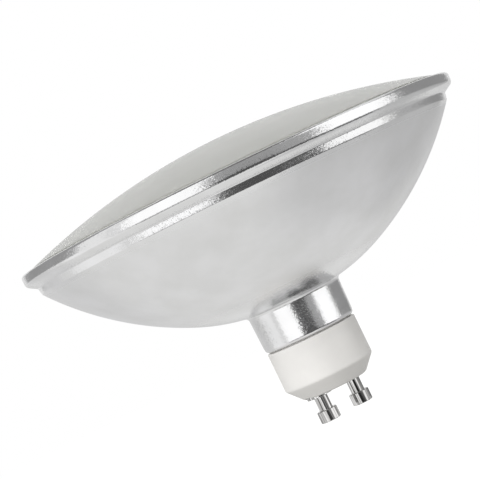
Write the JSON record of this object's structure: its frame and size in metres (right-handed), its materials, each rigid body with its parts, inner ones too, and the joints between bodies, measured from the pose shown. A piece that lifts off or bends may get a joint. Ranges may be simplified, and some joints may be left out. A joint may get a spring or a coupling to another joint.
{
  "type": "reflector spotlight lamp",
  "caption": "Aluminium reflector spotlight lamp with a domed satin front glass, a ceramic cap and twist-lock contact pins.",
  "frame": {"origin": "centre of the ceramic cap's flat seating face, from which the pins stand out", "axes": "+Z along the lamp's axis towards the front glass, +X through both contact pins, +Y across them"},
  "size_m": [0.111, 0.111, 0.0711],
  "materials": {
    "spun_aluminium": "satin",
    "satin_glass": "satin",
    "steatite": "satin",
    "nickel_plated_brass": "polished",
    "quartz_glass": "gloss",
    "molybdenum": "satin",
    "tungsten": "satin",
    "cement": "matte"
  },
  "bodies": {
    "root": {"reflector_shell": "spun_aluminium", "front_lens": "satin_glass", "base_cap": "steatite", "contact_pin_left": "nickel_plated_brass", "contact_pin_right": "nickel_plated_brass", "capsule_glass": "quartz_glass", "pinch_foil_left": "molybdenum", "pinch_foil_right": "molybdenum", "inner_lead_left": "molybdenum", "inner_lead_right": "molybdenum", "outer_lead_left": "molybdenum", "outer_lead_right": "molybdenum", "filament": "tungsten", "filament_support": "molybdenum", "base_cement": "cement"}
  },
  "joints": []
}
